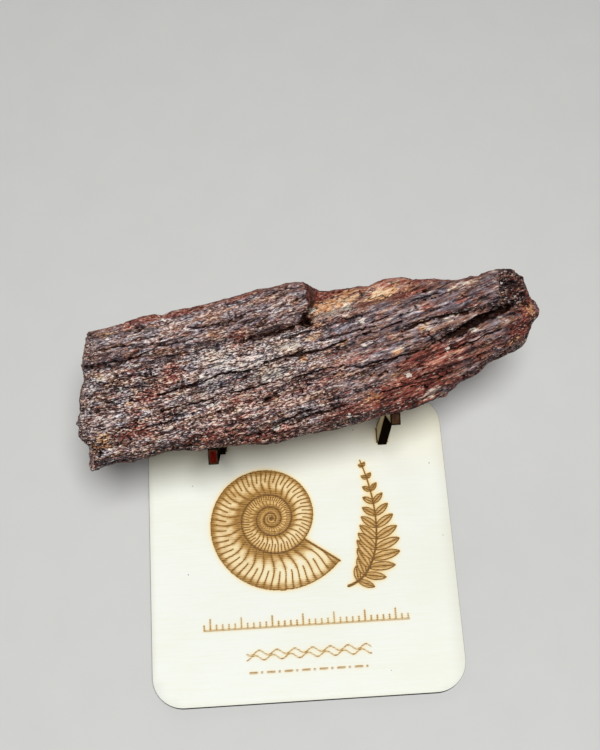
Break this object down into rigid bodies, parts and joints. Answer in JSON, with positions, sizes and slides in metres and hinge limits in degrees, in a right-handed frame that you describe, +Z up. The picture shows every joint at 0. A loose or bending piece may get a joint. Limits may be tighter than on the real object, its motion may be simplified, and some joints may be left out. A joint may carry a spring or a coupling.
{
  "type": "fossil dinosaur bone on a plywood display stand",
  "caption": "Slab of fibrous, iron-stained fossil dinosaur bone lying askew in the hooked arms of a small square laser-cut plywood stand with a burnt-in ammonite motif.",
  "frame": {"origin": "centre of the stand plate's underside, on the surface that it stands on", "axes": "+Z up, +Y from the plate's free front edge to the arms at its rear, +X to the right, roughly along the bone"},
  "size_m": [0.1377, 0.1162, 0.0833],
  "materials": {
    "plate_plywood": "pale sanded plywood with brown laser engraving and charred edges",
    "arm_plywood": "pale plywood faces with dark charred laser-cut edges",
    "fossil_bone": "rough, fibrous, dark purple-brown with red iron stain, pale specks and sandy matrix"
  },
  "bodies": {
    "root": {"base_plate": "plate_plywood", "left_arm": "arm_plywood", "right_arm": "arm_plywood", "fossil_bone": "fossil_bone"}
  },
  "joints": []
}
